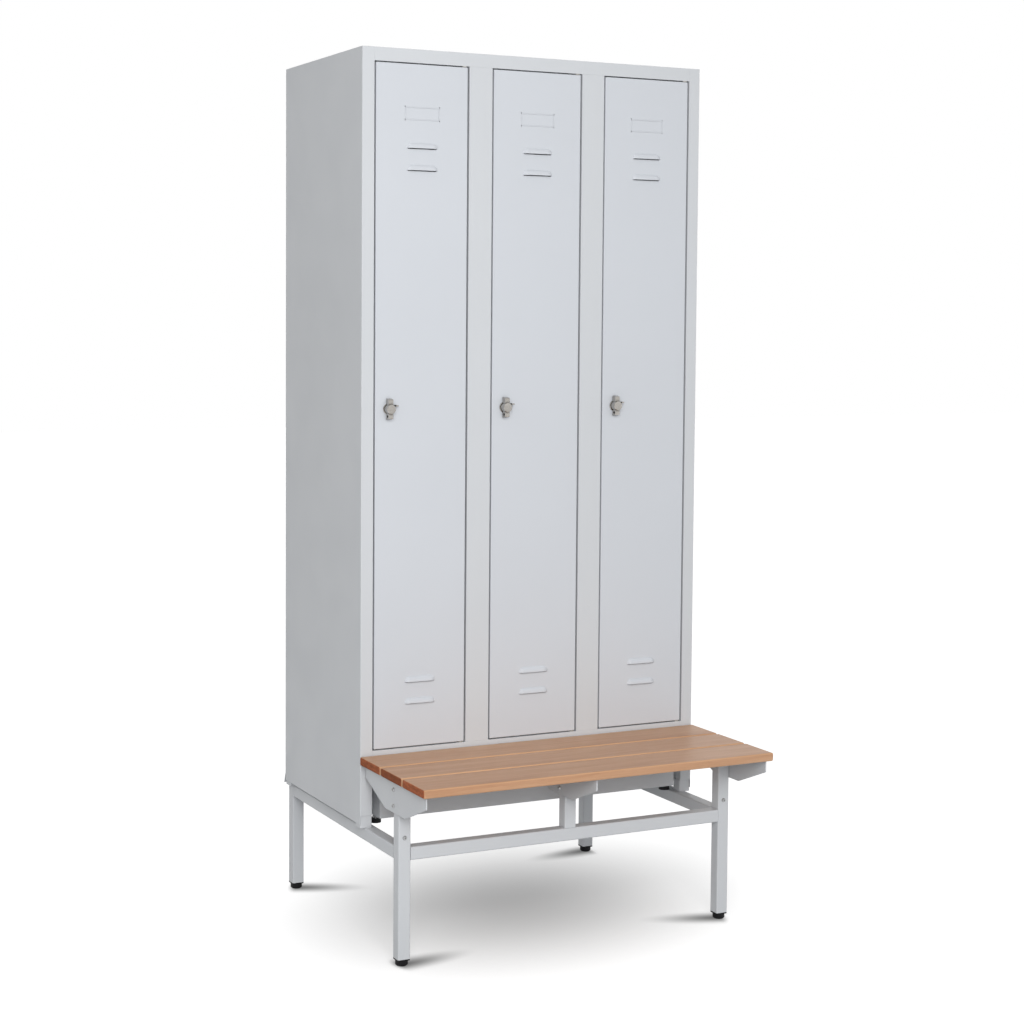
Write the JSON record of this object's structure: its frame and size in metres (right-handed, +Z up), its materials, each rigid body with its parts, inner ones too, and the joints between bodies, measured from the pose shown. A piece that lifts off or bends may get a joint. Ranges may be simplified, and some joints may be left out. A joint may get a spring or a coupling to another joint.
{
  "type": "changing-room locker with bench",
  "caption": "Tall sheet-steel locker with louvred hinged doors and padlock turn-latches, standing on a square-tube base that also carries a slatted wooden bench in front.",
  "frame": {"origin": "on the floor, below the middle of the unit's box", "axes": "+X to the right of a person facing the doors, +Y from the doors to the back, +Z up"},
  "size_m": [0.904, 0.858, 2.07],
  "materials": {
    "painted_steel": "light grey powder coat, satin",
    "door_paint": "light bluish grey powder coat, satin",
    "bench_wood": "clear lacquer over reddish-brown wood",
    "black_plastic": "matt",
    "white_nylon": "matt",
    "nickel": "nickel plate, satin",
    "zinc_steel": "bright zinc plate"
  },
  "bodies": {
    "carcass": {"side_panel_left": "painted_steel", "side_panel_right": "painted_steel", "roof_panel": "painted_steel", "back_panel": "painted_steel", "floor_panel": "painted_steel", "bottom_rail": "painted_steel", "plinth_panel": "painted_steel", "partition_left": "painted_steel", "partition_right": "painted_steel", "mullion_left": "painted_steel", "mullion_right": "painted_steel", "hat_shelf_left": "painted_steel", "hat_shelf_middle": "painted_steel", "hat_shelf_right": "painted_steel", "coat_rail_left": "zinc_steel", "coat_rail_middle": "zinc_steel", "coat_rail_right": "zinc_steel", "hinge_bushes": "white_nylon", "front_leg_left": "painted_steel", "front_leg_right": "painted_steel", "rear_leg_left": "painted_steel", "rear_leg_right": "painted_steel", "side_rail_left": "painted_steel", "side_rail_right": "painted_steel", "front_cross_rail": "painted_steel", "rear_cross_rail": "painted_steel", "centre_post": "painted_steel", "seat_posts": "painted_steel", "leg_feet": "black_plastic", "cabinet_feet": "black_plastic", "bench_bracket_left": "painted_steel", "bench_bracket_centre": "painted_steel", "bench_bracket_right": "painted_steel", "bench_slat_front": "bench_wood", "bench_slat_middle": "bench_wood", "bench_slat_rear": "bench_wood", "slat_screws": "zinc_steel", "frame_bolts": "zinc_steel"},
    "door_left": {"door_panel_left": "door_paint", "door_stiffener_left": "painted_steel", "hinge_pins_left": "zinc_steel", "lock_rose_left": "nickel", "lock_nut_left": "zinc_steel"},
    "latch_left": {"lock_handle_left": "nickel", "lock_cam_left": "zinc_steel"},
    "door_middle": {"door_panel_middle": "door_paint", "door_stiffener_middle": "painted_steel", "hinge_pins_middle": "zinc_steel", "lock_rose_middle": "nickel", "lock_nut_middle": "zinc_steel"},
    "latch_middle": {"lock_handle_middle": "nickel", "lock_cam_middle": "zinc_steel"},
    "door_right": {"door_panel_right": "door_paint", "door_stiffener_right": "painted_steel", "hinge_pins_right": "zinc_steel", "lock_rose_right": "nickel", "lock_nut_right": "zinc_steel"},
    "latch_right": {"lock_handle_right": "nickel", "lock_cam_right": "zinc_steel"}
  },
  "joints": [
    {"name": "door_hinge_left", "type": "hinge", "parent": "carcass", "child": "door_left", "pos_m": [-0.191, -0.066, 1.245], "axis": [0, 0, 1], "range_deg": [0, 110]},
    {"name": "latch_turn_left", "type": "hinge", "parent": "door_left", "child": "latch_left", "pos_m": [-0.383, -0.081, 1.245], "axis": [0, -1, 0], "range_deg": [0, 90]},
    {"name": "door_hinge_middle", "type": "hinge", "parent": "carcass", "child": "door_middle", "pos_m": [0.109, -0.066, 1.245], "axis": [0, 0, 1], "range_deg": [0, 110]},
    {"name": "latch_turn_middle", "type": "hinge", "parent": "door_middle", "child": "latch_middle", "pos_m": [-0.083, -0.081, 1.245], "axis": [0, -1, 0], "range_deg": [0, 90]},
    {"name": "door_hinge_right", "type": "hinge", "parent": "carcass", "child": "door_right", "pos_m": [0.409, -0.066, 1.245], "axis": [0, 0, 1], "range_deg": [0, 110]},
    {"name": "latch_turn_right", "type": "hinge", "parent": "door_right", "child": "latch_right", "pos_m": [0.217, -0.081, 1.245], "axis": [0, -1, 0], "range_deg": [0, 90]}
  ]
}
